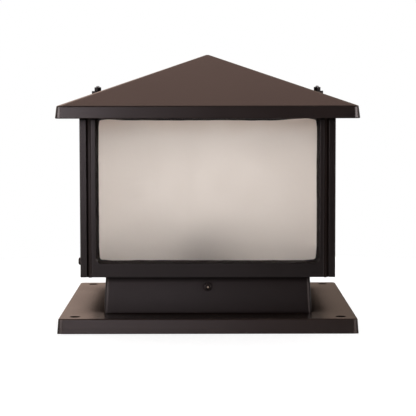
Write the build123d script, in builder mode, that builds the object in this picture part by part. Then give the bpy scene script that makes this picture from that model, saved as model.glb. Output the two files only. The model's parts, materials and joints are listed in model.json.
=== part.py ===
from build123d import *
from math import hypot
import os

# Pillar light: a square lantern with a pyramid roof, on a tapered neck and a bolt-down base plate.
# Millimetres. It stands on z = 0, its centre line is the Z axis and its front faces -Y.

# Base plate
base_width = 300.0
base_flare = 1.2
base_height = 15.0
base_wall = 2.0
base_corner = 5.0
base_edge_round = 1.5
mount_hole = 10.0
mount_inset = 16.0

# Neck
neck_foot_width = 213.5
neck_top_width = 209.4
neck_height = 39.3
neck_wall = 2.0
neck_corner = 4.5
neck_flange = 14.0
neck_screw_drop = 12.7

# Lantern body
lantern_width = 257.5
frame_thickness = 6.6
frame_round = 0.8
reveal_width = 4.7
reveal_depth = 3.0
reveal_groove = 1.9
stile_width = 4.3
bevel_width = 2.8
bevel_depth = 4.0
window_corner = 3.2
window_height = 144.5
sill_height = 16.4
post_size = 8.0
post_drop = 0.7
fin_thickness = 1.5
fin_setback = 0.6
corner_screw_height = 15.5

# Glass and gaskets
glass_thickness = 3.0
gasket_thickness = 1.0
gasket_lip = 0.6
glass_cover = 4.0

# Lantern floor and the collar below it
floor_wall = 2.0
collar_depth = 24.0
collar_corner = 2.4

# Ring on top of the posts
ring_wall = 2.0
ring_width = 17.0

# Roof
roof_foot_width = 303.2
roof_lip_flare = 1.6
roof_lip_height = 12.5
roof_rise = 53.1
roof_wall = 2.0
roof_corner = 5.0
roof_eave_round = 1.6
roof_rim_round = 0.8
roof_tip_width = 3.0
roof_tip_corner = 1.4
lip_over_window = 0.2
seal_height = 2.6
seal_inset = 0.6

# Roof studs, nuts and the wedge washers that level them on the slope
stud_inset = 10.4
stud_diameter = 4.0
stud_tip = 1.4
stud_head_height = 2.8
hexagon_sides = 6
hexagon_turn = 30.0
nut_across_flats = 7.0
nut_height = 4.0
lock_nut_height = 3.2
wedge_diameter = 13.0
wedge_thin_edge = 0.4

# Screws
m4_diameter = 4.0
m4_head = 7.6
m4_head_height = 2.6
m3_diameter = 3.0
m3_head = 5.6
m3_head_height = 2.0
head_round_share = 0.6
recess_share = 0.55
recess_width = 0.9
recess_depth = 1.1
thread_grip = 6.5

# Cable bushes
base_bush_hole = 20.0
base_bush_bore = 12.0
floor_bush_hole = 16.0
floor_bush_bore = 9.0
floor_bush_margin = 4.0
bush_lip = 2.5
bush_lip_height = 2.0

# Lamp holder, for a lamp with a 27 mm screw cap
holder_flange_diameter = 62.0
holder_flange_height = 7.0
holder_body_diameter = 42.0
holder_mouth_diameter = 38.0
holder_height = 36.0
holder_floor = 12.0
holder_screw_reach = 26.0
shell_wall = 0.6
shell_length = 22.0
contact_diameter = 10.0
contact_height = 2.5
lamp_cap_diameter = 26.1

# Terminal block, earth terminal and inner wires
block_length = 30.0
block_depth = 16.0
block_height = 13.0
block_margin = 5.5
way_pitch = 9.0
wire_diameter = 2.6
wire_level = 3.5
wire_entry = 4.0
wire_bend = 7.0
holder_wire_depth = 6.5
block_screw_diameter = 3.6
block_screw_length = 5.0
fixing_screw_offset = 4.5
earth_block = 8.0
earth_place_x = 38.0
earth_setback = 14.0
earth_screw_length = 2.8

# Clearances
slip_gap = 0.2
screw_gap = 0.15
run_gap = 0.05
seat_gap = 0.05
roof_gap = 0.1
shell_gap = 0.4
glass_gap = 0.4
pane_head_gap = 0.7
stud_gap = 0.6

# Levels
lantern_foot_z = base_height + neck_height
floor_top_z = lantern_foot_z + floor_wall
sill_z = lantern_foot_z + sill_height
window_head_z = sill_z + window_height
window_centre_z = (sill_z + window_head_z) / 2
post_foot_z = lantern_foot_z - post_drop
pane_top_z = window_head_z + glass_cover
post_top_z = pane_top_z + pane_head_gap + stud_head_height
ring_top_z = post_top_z + ring_wall
roof_foot_z = window_head_z - lip_over_window
eave_z = roof_foot_z + roof_lip_height
neck_screw_z = lantern_foot_z - neck_screw_drop
corner_screw_z = lantern_foot_z + corner_screw_height

# Half widths out from the centre line
lantern_half = lantern_width / 2
inner_half = lantern_half - frame_thickness
front_half = inner_half - reveal_width
window_half = front_half - stile_width - bevel_width
post_half = inner_half - post_size / 2
post_inner = inner_half - post_size
pane_half = post_inner - glass_gap
stud_reach = lantern_half - stud_inset
mount_half = base_width / 2 - mount_inset
eave_half = roof_foot_width / 2 - roof_lip_flare

# Roof slope
roof_slope = roof_rise / eave_half
roof_drop = roof_wall * hypot(1, roof_slope)
lip_lean = roof_lip_flare / roof_lip_height
lip_wall = roof_wall * hypot(1, lip_lean)

# Neck slope
neck_lean = (neck_foot_width - neck_top_width) / 2
neck_wall_across = neck_wall * hypot(1, neck_lean / neck_height)


def roof_top_at(reach):
    """Height of the roof's outer face at a distance out from the centre line."""
    return eave_z + (eave_half - reach) * roof_slope


def roof_under_at(reach):
    """Height of the roof's inner face at a distance out from the centre line."""
    return roof_top_at(reach) - roof_drop


def roof_under_reach(height):
    """Distance out from the centre line at which the roof's inner face has this height."""
    return eave_half - (height + roof_drop - eave_z) / roof_slope


def neck_width_at(height):
    """Outer width of the neck at a height above the floor."""
    share = (height - base_height) / neck_height
    return neck_foot_width + (neck_top_width - neck_foot_width) * share


def neck_inside_at(height):
    """Inner width of the neck at a height above the floor."""
    return neck_width_at(height) - 2 * neck_wall_across


def loft_squares(levels, mode=Mode.ADD):
    """Straight-sided solid through rounded squares, each a (height, width, corner) triple."""
    sections = []
    for height, width, corner in levels:
        with BuildSketch(Plane.XY.offset(height)) as section:
            RectangleRounded(width, width, corner)
        sections.append(section.sketch)
    loft(sections, ruled=True, mode=mode)


def save(builder, name):
    """Label a finished piece and write its STEP file."""
    builder.part.label = name
    export_step(builder.part, f"parts/{name}.step")


def group_at(piece, planes):
    """Copies of one piece, each placed on its own plane."""
    with BuildPart() as group:
        for plane in planes:
            with Locations(plane.location):
                add(piece.part)
    return group


def pan_screw(diameter, head, head_height, length):
    """Cross-recess pan-head screw: its head stands on the plane, its shank goes below."""
    with BuildPart() as screw:
        Cylinder(head / 2, head_height, align=(Align.CENTER, Align.CENTER, Align.MIN))
        fillet(screw.faces().sort_by(Axis.Z)[-1].edges(), head_height * head_round_share)
        with BuildSketch(Plane.XY.offset(head_height)):
            Rectangle(head * recess_share, recess_width)
            Rectangle(recess_width, head * recess_share)
        extrude(amount=-recess_depth, mode=Mode.SUBTRACT)
        Cylinder(diameter / 2, length, align=(Align.CENTER, Align.CENTER, Align.MAX))
    return screw


def hex_nut(across_flats, height, bore):
    """Hexagon nut standing on the plane, with two flats facing X."""
    with BuildPart() as nut:
        with BuildSketch():
            RegularPolygon(across_flats / 2, hexagon_sides, major_radius=False, rotation=hexagon_turn)
            Circle(bore / 2, mode=Mode.SUBTRACT)
        extrude(amount=height)
    return nut


def cable_bush(hole, bore, plate_wall):
    """Rubber bush with a groove round a plate whose lower face lies on the plane."""
    lip = hole / 2 + bush_lip
    neck_radius = hole / 2 - slip_gap
    low = -bush_lip_height - seat_gap
    high = plate_wall + seat_gap
    with BuildPart() as bush:
        with BuildSketch(Plane.XY.offset(low)):
            Circle(lip)
        extrude(amount=bush_lip_height)
        with BuildSketch(Plane.XY.offset(-seat_gap)):
            Circle(neck_radius)
        extrude(amount=plate_wall + 2 * seat_gap)
        with BuildSketch(Plane.XY.offset(high)):
            Circle(lip)
        extrude(amount=bush_lip_height)
        with BuildSketch(Plane.XY.offset(low)):
            Circle(bore / 2)
        extrude(amount=plate_wall + 2 * (bush_lip_height + seat_gap), mode=Mode.SUBTRACT)
    return bush


def side_plane(direction):
    """Plane on the lantern's outer face: X along the face, Y up, Z outwards."""
    out = Vector(*direction)
    return Plane(origin=out * lantern_half, x_dir=Vector(0, 0, 1).cross(out), z_dir=out)


os.makedirs("parts", exist_ok=True)

# Base plate: pressed tray with a leaning skirt
flange_half = neck_width_at(base_height + neck_wall) / 2 - neck_wall - neck_flange / 2
base_pan_top = base_height - base_wall
with BuildPart() as base_plate:
    loft_squares([
        (0, base_width + 2 * base_flare, base_corner + base_flare),
        (base_height, base_width, base_corner),
    ])
    fillet(base_plate.faces().sort_by(Axis.Z)[-1].edges(), base_edge_round)
    pan_corner = base_corner - base_wall
    pan_lean = base_flare * base_wall / base_height
    loft_squares([
        (0, base_width + 2 * (base_flare - base_wall), pan_corner + base_flare),
        (base_pan_top, base_width + 2 * (pan_lean - base_wall), pan_corner + pan_lean),
    ], mode=Mode.SUBTRACT)
    with BuildSketch(Plane.XY.offset(base_pan_top)):
        with GridLocations(2 * mount_half, 2 * mount_half, 2, 2):
            Circle(mount_hole / 2)
        with GridLocations(2 * flange_half, 2 * flange_half, 2, 2):
            Circle(m4_diameter / 2 + screw_gap)
        Circle(base_bush_hole / 2)
    extrude(amount=base_wall, mode=Mode.SUBTRACT)
save(base_plate, "base_plate")

base_grommet = group_at(cable_bush(base_bush_hole, base_bush_bore, base_wall), [Plane.XY.offset(base_pan_top)])
save(base_grommet, "base_grommet")

# Neck: tapered square collar with an inward foot flange
neck_floor_z = base_height + neck_wall
with BuildPart() as neck:
    loft_squares([
        (base_height, neck_foot_width, neck_corner),
        (lantern_foot_z, neck_top_width, neck_corner),
    ])
    loft_squares([
        (neck_floor_z, neck_inside_at(neck_floor_z), neck_corner - neck_wall),
        (lantern_foot_z, neck_inside_at(lantern_foot_z), neck_corner - neck_wall),
    ], mode=Mode.SUBTRACT)
    with BuildSketch(Plane.XY.offset(base_height)):
        flange_window = 2 * flange_half - neck_flange
        RectangleRounded(flange_window, flange_window, neck_corner)
        with GridLocations(2 * flange_half, 2 * flange_half, 2, 2):
            Circle(m4_diameter / 2 + screw_gap)
    extrude(amount=neck_wall, mode=Mode.SUBTRACT)
    with BuildSketch(Plane.XZ):
        with Locations((0, neck_screw_z)):
            Circle(m4_diameter / 2 + screw_gap)
    extrude(amount=neck_foot_width, both=True, mode=Mode.SUBTRACT)
save(neck, "neck")

base_screw = pan_screw(m4_diameter, m4_head, m4_head_height, base_wall + neck_wall + neck_wall)
base_screw_planes = [
    Plane(origin=(x * flange_half, y * flange_half, base_pan_top), z_dir=(0, 0, -1))
    for x in (-1, 1)
    for y in (-1, 1)
]
base_screws = group_at(base_screw, base_screw_planes)
save(base_screws, "base_screws")

# Floor tray: lantern floor with the collar that plugs into the neck
collar_foot_z = lantern_foot_z - collar_depth
collar_width = min(neck_inside_at(lantern_foot_z), neck_inside_at(collar_foot_z)) - 2 * slip_gap
collar_inside = collar_width - 2 * floor_wall
floor_bush_reach = floor_bush_hole / 2 + bush_lip
floor_bush_place = collar_inside / 2 - floor_bush_margin - floor_bush_reach
block_place = floor_bush_place - floor_bush_reach - block_margin - block_depth / 2
block_front = block_place - block_depth / 2
earth_place_y = block_front - earth_setback
notch_size = post_size + slip_gap
notch_half = inner_half - notch_size / 2
with BuildPart() as floor_tray:
    with BuildSketch(Plane.XY.offset(lantern_foot_z)):
        Rectangle(2 * inner_half, 2 * inner_half)
        with GridLocations(2 * notch_half, 2 * notch_half, 2, 2):
            Rectangle(notch_size, notch_size, mode=Mode.SUBTRACT)
        with GridLocations(2 * holder_screw_reach, 0, 2, 1):
            Circle(m4_diameter / 2 + screw_gap, mode=Mode.SUBTRACT)
        with Locations((0, floor_bush_place)):
            Circle(floor_bush_hole / 2, mode=Mode.SUBTRACT)
        with Locations((fixing_screw_offset, block_place)):
            Circle(m3_diameter / 2 + screw_gap, mode=Mode.SUBTRACT)
    extrude(amount=floor_wall)
    with BuildSketch(Plane.XY.offset(lantern_foot_z)):
        RectangleRounded(collar_width, collar_width, collar_corner)
        Rectangle(collar_inside, collar_inside, mode=Mode.SUBTRACT)
    extrude(amount=-collar_depth)
    with BuildSketch(Plane.XZ):
        with Locations((0, neck_screw_z)):
            Circle(m4_diameter / 2 + screw_gap)
    extrude(amount=collar_width, both=True, mode=Mode.SUBTRACT)
save(floor_tray, "floor_tray")

floor_grommet = group_at(
    cable_bush(floor_bush_hole, floor_bush_bore, floor_wall),
    [Plane(origin=(0, floor_bush_place, lantern_foot_z))],
)
save(floor_grommet, "floor_grommet")

# Neck screws: front and rear, their heads just touching the leaning wall where it is widest
neck_seat = max(neck_width_at(neck_screw_z + edge * m4_head / 2) for edge in (-1, 1)) / 2
neck_screw_length = neck_seat - collar_width / 2 + floor_wall + neck_wall
neck_screw = pan_screw(m4_diameter, m4_head, m4_head_height, neck_screw_length)
neck_screw_planes = [
    Plane(origin=(0, side * neck_seat, neck_screw_z), x_dir=(1, 0, 0), z_dir=(0, side, 0))
    for side in (-1, 1)
]
neck_screws = group_at(neck_screw, neck_screw_planes)
save(neck_screws, "neck_screws")

# Corner posts: their noses stand in the reveal, a groove away from the side frames, and their fins
# hold the panes from inside
pane_back = inner_half - gasket_thickness - glass_thickness
fin_level = pane_back - slip_gap - fin_thickness / 2
fin_reach = post_inner - window_half - fin_setback
fin_centre = post_inner - fin_reach / 2
nose_width = reveal_width - reveal_groove - slip_gap
nose_centre = inner_half - reveal_groove - nose_width / 2
nose_depth = frame_thickness - reveal_depth
nose_reach = inner_half + nose_depth / 2
screwed_corners = ((-1, -1), (1, 1))
for side_x, side_name in ((-1, "left"), (1, "right")):
    for side_y, end_name in ((-1, "front"), (1, "rear")):
        with BuildPart() as post:
            with BuildSketch(Plane.XY.offset(post_foot_z)):
                with Locations((side_x * post_half, side_y * post_half)):
                    Rectangle(post_size, post_size)
                with Locations((side_x * nose_centre, side_y * nose_reach)):
                    Rectangle(nose_width, nose_depth)
            extrude(amount=post_top_z - post_foot_z)
            with BuildSketch(Plane.XY.offset(floor_top_z)):
                with Locations((side_x * fin_centre, side_y * fin_level)):
                    Rectangle(fin_reach, fin_thickness)
                with Locations((side_x * fin_level, side_y * fin_centre)):
                    Rectangle(fin_thickness, fin_reach)
            extrude(amount=post_top_z - floor_top_z)
            with BuildSketch(Plane.XY.offset(post_top_z)):
                with Locations((side_x * post_half, side_y * post_half)):
                    Circle(m3_diameter / 2 + screw_gap)
            extrude(amount=-thread_grip - ring_wall, mode=Mode.SUBTRACT)
            if (side_x, side_y) in screwed_corners:
                with BuildSketch(Plane.YZ.offset(side_x * inner_half)):
                    with Locations((side_y * post_half, corner_screw_z)):
                        Circle(m4_diameter / 2 + screw_gap)
                extrude(amount=-side_x * (thread_grip + screw_gap), mode=Mode.SUBTRACT)
        save(post, f"post_{end_name}_{side_name}")

# Window frames, gaskets and panes: the side frames run the full depth, front and rear fit between
frame_top_z = roof_under_at(lantern_half) - seal_height
gasket_foot_z = sill_z - glass_cover
frame_sides = (
    ("front", (0, -1, 0), front_half),
    ("rear", (0, 1, 0), front_half),
    ("left", (-1, 0, 0), lantern_half),
    ("right", (1, 0, 0), lantern_half),
)
for name, direction, half_width in frame_sides:
    face = side_plane(direction)
    with BuildPart() as frame:
        with BuildSketch(face):
            with Locations((0, (lantern_foot_z + frame_top_z) / 2)):
                Rectangle(2 * half_width, frame_top_z - lantern_foot_z)
        extrude(amount=-frame_thickness)
        outer_edges = frame.edges().filter_by(Axis.Z)
        fillet(outer_edges.sort_by(Axis(face.origin, face.z_dir))[-2:], frame_round)
        with BuildSketch(face.offset(-bevel_depth)):
            with Locations((0, window_centre_z)):
                RectangleRounded(2 * window_half, window_height, window_corner)
        extrude(amount=bevel_depth - frame_thickness, mode=Mode.SUBTRACT)
        for depth, widening in ((0, bevel_width), (bevel_depth, 0)):
            with BuildSketch(face.offset(-depth)):
                with Locations((0, window_centre_z)):
                    RectangleRounded(
                        2 * (window_half + widening), window_height + 2 * widening, window_corner + widening
                    )
        loft(ruled=True, mode=Mode.SUBTRACT)
        if direction[0]:
            screw_y = direction[0] * post_half
            with BuildSketch(Plane.YZ.offset(direction[0] * lantern_half)):
                with Locations((screw_y, corner_screw_z)):
                    Circle(m4_diameter / 2 + screw_gap)
            extrude(amount=-direction[0] * frame_thickness, mode=Mode.SUBTRACT)
    save(frame, f"frame_{name}")

    with BuildPart() as gasket:
        with BuildSketch(face.offset(-frame_thickness)):
            with Locations((0, (gasket_foot_z + pane_top_z) / 2)):
                Rectangle(2 * pane_half, pane_top_z - gasket_foot_z)
            with Locations((0, window_centre_z)):
                RectangleRounded(
                    2 * (window_half - gasket_lip), window_height - 2 * gasket_lip, window_corner,
                    mode=Mode.SUBTRACT,
                )
        extrude(amount=-gasket_thickness)
    save(gasket, f"gasket_{name}")

    with BuildPart() as pane:
        with BuildSketch(face.offset(-frame_thickness - gasket_thickness)):
            with Locations((0, (floor_top_z + pane_top_z) / 2)):
                Rectangle(2 * pane_half, pane_top_z - floor_top_z)
        extrude(amount=-glass_thickness)
    save(pane, f"pane_{name}")

# Corner screws: low on the left side at the front, and on the right side at the rear
corner_screw = pan_screw(m4_diameter, m4_head, m4_head_height, frame_thickness + thread_grip)
corner_screw_planes = [
    Plane(origin=(side * lantern_half, side * post_half, corner_screw_z), x_dir=(0, 1, 0), z_dir=(side, 0, 0))
    for side in (-1, 1)
]
corner_screws = group_at(corner_screw, corner_screw_planes)
save(corner_screws, "corner_screws")

# Top ring: ties the posts and carries the roof studs
ring_outer = 2 * (inner_half - slip_gap)
ring_inner = ring_outer - 2 * ring_width
with BuildPart() as top_ring:
    with BuildSketch(Plane.XY.offset(post_top_z)):
        Rectangle(ring_outer, ring_outer)
        Rectangle(ring_inner, ring_inner, mode=Mode.SUBTRACT)
        with GridLocations(2 * post_half, 2 * post_half, 2, 2):
            Circle(m3_diameter / 2 + screw_gap, mode=Mode.SUBTRACT)
        with GridLocations(2 * stud_reach, 0, 2, 1):
            Circle(stud_diameter / 2 + screw_gap, mode=Mode.SUBTRACT)
    extrude(amount=ring_wall)
save(top_ring, "top_ring")

ring_screw = pan_screw(m3_diameter, m3_head, m3_head_height, ring_wall + thread_grip)
ring_screw_planes = [
    Plane(origin=(x * post_half, y * post_half, ring_top_z))
    for x in (-1, 1)
    for y in (-1, 1)
]
ring_screws = group_at(ring_screw, ring_screw_planes)
save(ring_screws, "ring_screws")

# Roof studs: hexagon bolts up through the ring, each locked by a nut on top of it
wedge_top_z = roof_top_at(stud_reach - wedge_diameter / 2) + wedge_thin_edge
nut_foot_z = wedge_top_z + seat_gap
stud_top_z = nut_foot_z + nut_height + stud_tip
with BuildPart() as stud:
    with BuildSketch(Plane.XY.offset(post_top_z)):
        RegularPolygon(nut_across_flats / 2, hexagon_sides, major_radius=False, rotation=hexagon_turn)
    extrude(amount=-stud_head_height)
    with BuildSketch(Plane.XY.offset(post_top_z)):
        Circle(stud_diameter / 2)
    extrude(amount=stud_top_z - post_top_z)
    chamfer(stud.faces().sort_by(Axis.Z)[-1].edges(), stud_tip / 2)
stud_planes = [Plane(origin=(side * stud_reach, 0, 0)) for side in (-1, 1)]
roof_studs = group_at(stud, stud_planes)
save(roof_studs, "roof_studs")

lock_nut = hex_nut(nut_across_flats, lock_nut_height, stud_diameter + 2 * run_gap)
stud_lock_nuts = group_at(lock_nut, [plane.offset(ring_top_z) for plane in stud_planes])
save(stud_lock_nuts, "stud_lock_nuts")

# Roof seal: a strip on the frames, its top following the roof's inner face
seal_outer = 2 * (lantern_half - seal_inset)
seal_inner = 2 * (inner_half + seal_inset)
seal_cap_z = roof_under_at(seal_inner / 2) + seal_height
with BuildPart() as roof_seal:
    with BuildSketch(Plane.XY.offset(frame_top_z)):
        Rectangle(seal_outer, seal_outer)
        Rectangle(seal_inner, seal_inner, mode=Mode.SUBTRACT)
    extrude(amount=seal_cap_z - frame_top_z)
    loft_squares(
        [(level, 2 * roof_under_reach(level + roof_gap), roof_corner) for level in (frame_top_z, seal_cap_z)],
        mode=Mode.INTERSECT,
    )
save(roof_seal, "roof_seal")

# Roof: pyramid shell with a leaning lip
tip_half = roof_tip_width / 2
lip_in_foot = roof_foot_width / 2 - lip_wall
lip_in_eave = (lip_in_foot - lip_lean * (roof_lip_height + eave_half * roof_slope - roof_drop)) / (
    1 - lip_lean * roof_slope
)
inner_corner = roof_corner - roof_wall
with BuildPart() as roof_shell:
    loft_squares([
        (roof_foot_z, roof_foot_width, roof_corner + roof_lip_flare),
        (eave_z, 2 * eave_half, roof_corner),
    ])
    loft_squares([
        (eave_z, 2 * eave_half, roof_corner),
        (roof_top_at(tip_half), roof_tip_width, roof_tip_corner),
    ])
    eave_edges = roof_shell.edges().filter_by_position(Axis.Z, eave_z - roof_gap, eave_z + roof_gap)
    fillet(eave_edges, roof_eave_round)
    fillet(roof_shell.faces().sort_by(Axis.Z)[0].edges(), roof_rim_round)
    loft_squares([
        (roof_foot_z, 2 * lip_in_foot, inner_corner + roof_lip_flare),
        (roof_under_at(lip_in_eave), 2 * lip_in_eave, inner_corner),
    ], mode=Mode.SUBTRACT)
    loft_squares([
        (roof_under_at(lip_in_eave), 2 * lip_in_eave, inner_corner),
        (roof_under_at(tip_half), roof_tip_width, roof_tip_corner),
    ], mode=Mode.SUBTRACT)
    with BuildSketch(Plane.XY.offset(roof_foot_z)):
        with GridLocations(2 * stud_reach, 0, 2, 1):
            Circle(stud_diameter / 2 + stud_gap)
    extrude(amount=wedge_top_z - roof_foot_z, mode=Mode.SUBTRACT)
save(roof_shell, "roof_shell")

# Wedge washers: level on top, sloped below to lie on the roof
wedges = []
for side in (-1, 1):
    roof_face = Plane(origin=(side * eave_half, 0, eave_z), z_dir=(side * roof_slope, 0, 1))
    with BuildPart() as wedge:
        with BuildSketch(Plane.XY.offset(wedge_top_z)):
            with Locations((side * stud_reach, 0)):
                Circle(wedge_diameter / 2)
                Circle(stud_diameter / 2 + stud_gap, mode=Mode.SUBTRACT)
        extrude(amount=-wedge_diameter)
        split(bisect_by=roof_face, keep=Keep.TOP)
    wedges.append(wedge)
with BuildPart() as roof_wedge_washers:
    for wedge in wedges:
        add(wedge.part)
save(roof_wedge_washers, "roof_wedge_washers")

roof_nut = hex_nut(nut_across_flats, nut_height, stud_diameter + 2 * run_gap)
for name, side in (("left", -1), ("right", 1)):
    nut = group_at(roof_nut, [Plane(origin=(side * stud_reach, 0, nut_foot_z))])
    save(nut, f"roof_nut_{name}")

# Lamp holder: flanged moulding on the floor with a screw socket
shell_inner_radius = lamp_cap_diameter / 2 + shell_gap
shell_outer_radius = shell_inner_radius + shell_wall
socket_radius = shell_outer_radius + slip_gap
socket_floor_z = floor_top_z + holder_floor
holder_top_z = floor_top_z + holder_height
wire_z = floor_top_z + wire_level
wire_holes = (-way_pitch, 0)
with BuildPart() as lamp_holder:
    with BuildSketch(Plane.XY.offset(floor_top_z)):
        Circle(holder_flange_diameter / 2)
        with GridLocations(2 * holder_screw_reach, 0, 2, 1):
            Circle(m4_diameter / 2 + screw_gap, mode=Mode.SUBTRACT)
    extrude(amount=holder_flange_height)
    with BuildSketch(Plane.XY.offset(floor_top_z + holder_flange_height)):
        Circle(holder_body_diameter / 2)
    with BuildSketch(Plane.XY.offset(holder_top_z)):
        Circle(holder_mouth_diameter / 2)
    loft(ruled=True)
    with BuildSketch(Plane.XY.offset(socket_floor_z)):
        Circle(socket_radius)
    extrude(amount=holder_height, mode=Mode.SUBTRACT)
    with BuildSketch(Plane.XZ.offset(-holder_flange_diameter / 2)):
        for x in wire_holes:
            with Locations((x, wire_z)):
                Circle(wire_diameter / 2 + slip_gap)
    extrude(amount=holder_wire_depth, mode=Mode.SUBTRACT)
save(lamp_holder, "lamp_holder")

with BuildPart() as holder_shell:
    with BuildSketch(Plane.XY.offset(socket_floor_z)):
        Circle(shell_outer_radius)
        Circle(shell_inner_radius, mode=Mode.SUBTRACT)
    extrude(amount=shell_length)
save(holder_shell, "holder_shell")

with BuildPart() as holder_contact:
    with BuildSketch(Plane.XY.offset(socket_floor_z)):
        Circle(contact_diameter / 2)
    extrude(amount=contact_height)
save(holder_contact, "holder_contact")

holder_screw = pan_screw(m4_diameter, m4_head, m4_head_height, holder_flange_height + floor_wall + floor_wall)
flange_top_z = floor_top_z + holder_flange_height
holder_screw_planes = [Plane(origin=(side * holder_screw_reach, 0, flange_top_z)) for side in (-1, 1)]
holder_screws = group_at(holder_screw, holder_screw_planes)
save(holder_screws, "holder_screws")

# Terminal block behind the holder, with three ways
block_top_z = floor_top_z + block_height
way_places = [way * way_pitch for way in (-1, 0, 1)]
screw_hole_radius = block_screw_diameter / 2 + screw_gap
with BuildPart() as terminal_block:
    with BuildSketch(Plane.XY.offset(floor_top_z)):
        with Locations((0, block_place)):
            Rectangle(block_length, block_depth)
    extrude(amount=block_height)
    with BuildSketch(Plane.XY.offset(block_top_z)):
        for x in way_places:
            with Locations((x, block_place)):
                Circle(screw_hole_radius)
    extrude(amount=-block_screw_length, mode=Mode.SUBTRACT)
    with BuildSketch(Plane.XY.offset(floor_top_z)):
        with Locations((fixing_screw_offset, block_place)):
            Circle(m3_diameter / 2 + screw_gap)
    extrude(amount=block_height, mode=Mode.SUBTRACT)
    with BuildSketch(Plane.XZ.offset(block_depth / 2 - block_place)):
        for x in way_places:
            with Locations((x, wire_z)):
                Circle(wire_diameter / 2 + slip_gap)
    extrude(amount=-wire_entry, mode=Mode.SUBTRACT)
save(terminal_block, "terminal_block")

with BuildPart() as way_screw:
    Cylinder(
        block_screw_diameter / 2, block_screw_length - recess_depth, align=(Align.CENTER, Align.CENTER, Align.MIN)
    )
    with BuildSketch(Plane.XY.offset(block_screw_length - recess_depth)):
        Rectangle(block_screw_diameter, recess_width)
    extrude(amount=-recess_depth, mode=Mode.SUBTRACT)
way_floor_z = block_top_z - block_screw_length
terminal_screws = group_at(way_screw, [Plane(origin=(x, block_place, way_floor_z)) for x in way_places])
save(terminal_screws, "terminal_screws")

fixing_screw = pan_screw(m3_diameter, m3_head, m3_head_height, block_height + floor_wall + floor_wall)
terminal_fixing_screw = group_at(fixing_screw, [Plane(origin=(fixing_screw_offset, block_place, block_top_z))])
save(terminal_fixing_screw, "terminal_fixing_screw")

# Earth terminal: a brass block on the floor with its clamp screw
earth_top_z = floor_top_z + earth_block
with BuildPart() as earth_terminal:
    with BuildSketch(Plane.XY.offset(floor_top_z)):
        with Locations((earth_place_x, earth_place_y)):
            Rectangle(earth_block, earth_block)
    extrude(amount=earth_block)
    with BuildSketch(Plane.YZ.offset(earth_place_x - earth_block / 2)):
        with Locations((earth_place_y, wire_z)):
            Circle(wire_diameter / 2 + slip_gap)
    extrude(amount=wire_entry, mode=Mode.SUBTRACT)
    with BuildSketch(Plane.XY.offset(earth_top_z)):
        with Locations((earth_place_x, earth_place_y)):
            Circle(m3_diameter / 2 + screw_gap)
    extrude(amount=-earth_screw_length - screw_gap, mode=Mode.SUBTRACT)
save(earth_terminal, "earth_terminal")

clamp_screw = pan_screw(m3_diameter, m3_head, m3_head_height, earth_screw_length)
earth_screw = group_at(clamp_screw, [Plane(origin=(earth_place_x, earth_place_y, earth_top_z))])
save(earth_screw, "earth_screw")

# Inner wires: live and neutral run straight to the holder, earth bends round to its terminal
wire_start = block_front + wire_entry - slip_gap
for name, x in zip(("live_wire", "neutral_wire"), wire_holes):
    holder_edge = ((holder_flange_diameter / 2) ** 2 - x ** 2) ** 0.5
    wire_end = holder_edge - wire_entry / 2
    with BuildPart() as wire:
        with BuildSketch(Plane.XZ.offset(-wire_start)):
            with Locations((x, wire_z)):
                Circle(wire_diameter / 2)
        extrude(amount=wire_start - wire_end)
    save(wire, name)

earth_end = earth_place_x - earth_block / 2 + wire_entry - slip_gap
with BuildPart() as earth_wire:
    with BuildLine() as earth_route:
        down = Line((way_pitch, wire_start, wire_z), (way_pitch, earth_place_y + wire_bend, wire_z))
        turn = TangentArc(
            down @ 1, (way_pitch + wire_bend, earth_place_y, wire_z), tangent=down % 1
        )
        Line(turn @ 1, (earth_end, earth_place_y, wire_z))
    with BuildSketch(Plane(origin=down @ 0, z_dir=down % 0)):
        Circle(wire_diameter / 2)
    sweep()
save(earth_wire, "earth_wire")
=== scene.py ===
import json
import math

import bmesh
import bpy
from mathutils import Matrix, Vector, noise


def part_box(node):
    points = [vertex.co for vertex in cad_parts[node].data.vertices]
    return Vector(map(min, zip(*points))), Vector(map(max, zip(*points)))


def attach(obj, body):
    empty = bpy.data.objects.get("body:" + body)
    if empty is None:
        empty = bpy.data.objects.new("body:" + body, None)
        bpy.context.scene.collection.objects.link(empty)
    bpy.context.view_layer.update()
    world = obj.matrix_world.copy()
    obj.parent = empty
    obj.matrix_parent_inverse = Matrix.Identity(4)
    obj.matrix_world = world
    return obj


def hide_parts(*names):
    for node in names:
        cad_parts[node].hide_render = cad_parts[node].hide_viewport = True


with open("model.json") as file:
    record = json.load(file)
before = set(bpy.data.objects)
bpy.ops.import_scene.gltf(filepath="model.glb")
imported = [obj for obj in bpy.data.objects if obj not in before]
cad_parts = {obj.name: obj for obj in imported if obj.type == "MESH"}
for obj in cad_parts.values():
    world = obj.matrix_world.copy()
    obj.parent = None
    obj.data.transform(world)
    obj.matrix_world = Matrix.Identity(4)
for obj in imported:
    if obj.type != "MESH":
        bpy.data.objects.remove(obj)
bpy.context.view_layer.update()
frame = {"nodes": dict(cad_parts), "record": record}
nodes = frame["nodes"]
MM = 0.001
SIDES = ("front", "right", "rear", "left")

# Sizes of the CAD model that the coats and the pieces made here follow, in millimetres
BASE_FOOT_HALF = 151.2
BASE_TOP_Z = 15.0
ANCHOR_REACH = 134.0
ANCHOR_RADIUS = 5.0
NECK_SCREW_Z = 41.6
LANTERN_FOOT_Z = 54.3
LANTERN_HALF = 128.75
FRAME_THICKNESS = 6.6
BEVEL_HALF = 113.15
WINDOW_HALF = 110.35
WINDOW_CORNER = 3.2
SILL_Z = 70.7
WINDOW_HEAD_Z = 215.2
STUD_REACH = 118.35
STUD_RADIUS = 2.0
NUT_FLATS = 7.0

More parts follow.
